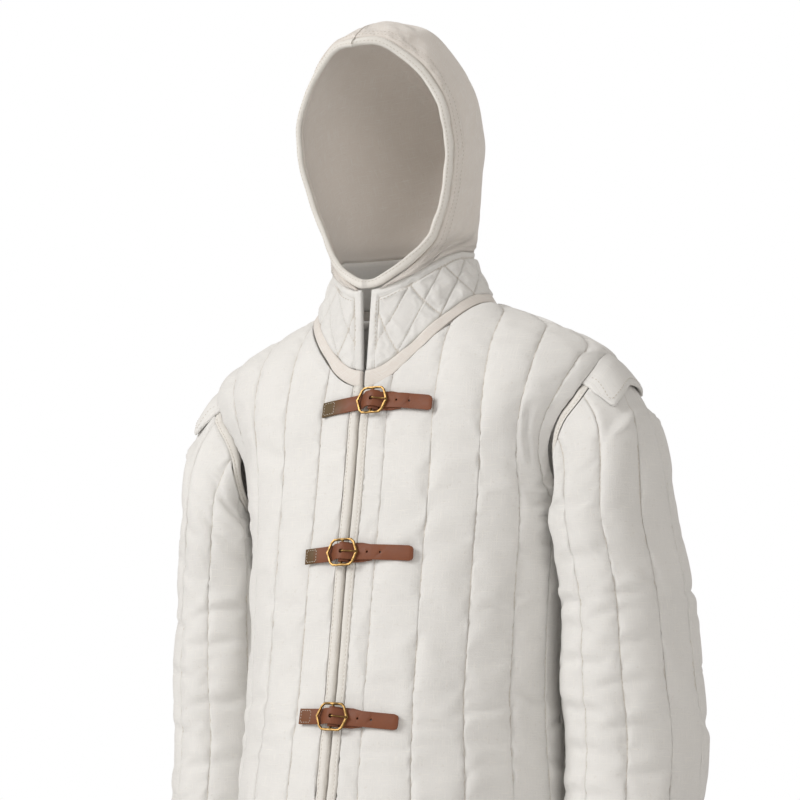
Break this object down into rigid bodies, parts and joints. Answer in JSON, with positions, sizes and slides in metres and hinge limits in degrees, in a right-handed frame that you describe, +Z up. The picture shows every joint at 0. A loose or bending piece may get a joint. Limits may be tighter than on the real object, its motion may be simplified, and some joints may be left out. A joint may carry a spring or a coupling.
{
  "type": "hooded gambeson",
  "caption": "Hooded, knee-length quilted arming coat that closes edge to edge with buckled leather straps, kept in its hollow worn form.",
  "frame": {"origin": "on the middle line at the height of the shoulders beside the neck, where the wearer's shoulders carry the coat", "axes": "+Z up towards the crown of the hood, -Y to the front where the coat closes, +X to the wearer's left"},
  "size_m": [0.604, 0.3605, 1.1999],
  "materials": {
    "quilted_cotton": "undyed cotton canvas, quilted over batting, matt",
    "cotton_binding": "undyed cotton binding, topstitched, matt",
    "hood_cotton": "undyed brushed cotton, slightly warmer, matt",
    "strap_leather": "reddish brown vegetable-tanned leather, satin",
    "buckle_brass": "cast brass, slightly worn"
  },
  "bodies": {
    "root": {"back": "quilted_cotton", "buckle_1": "buckle_brass", "buckle_2": "buckle_brass", "buckle_3": "buckle_brass", "buckle_tab_1": "strap_leather", "buckle_tab_2": "strap_leather", "buckle_tab_3": "strap_leather", "collar": "quilted_cotton", "collar_band": "hood_cotton", "front_edge_left": "cotton_binding", "front_edge_right": "cotton_binding", "front_left": "quilted_cotton", "front_right": "quilted_cotton", "hood_edge": "cotton_binding", "hood_left": "hood_cotton", "hood_right": "hood_cotton", "prong_1": "buckle_brass", "prong_2": "buckle_brass", "prong_3": "buckle_brass", "shoulder_tongue_left": "quilted_cotton", "shoulder_tongue_right": "quilted_cotton", "sleeve_edge_left": "cotton_binding", "sleeve_edge_right": "cotton_binding", "sleeve_left": "quilted_cotton", "sleeve_right": "quilted_cotton", "strap_1": "strap_leather", "strap_2": "strap_leather", "strap_3": "strap_leather"}
  },
  "joints": []
}
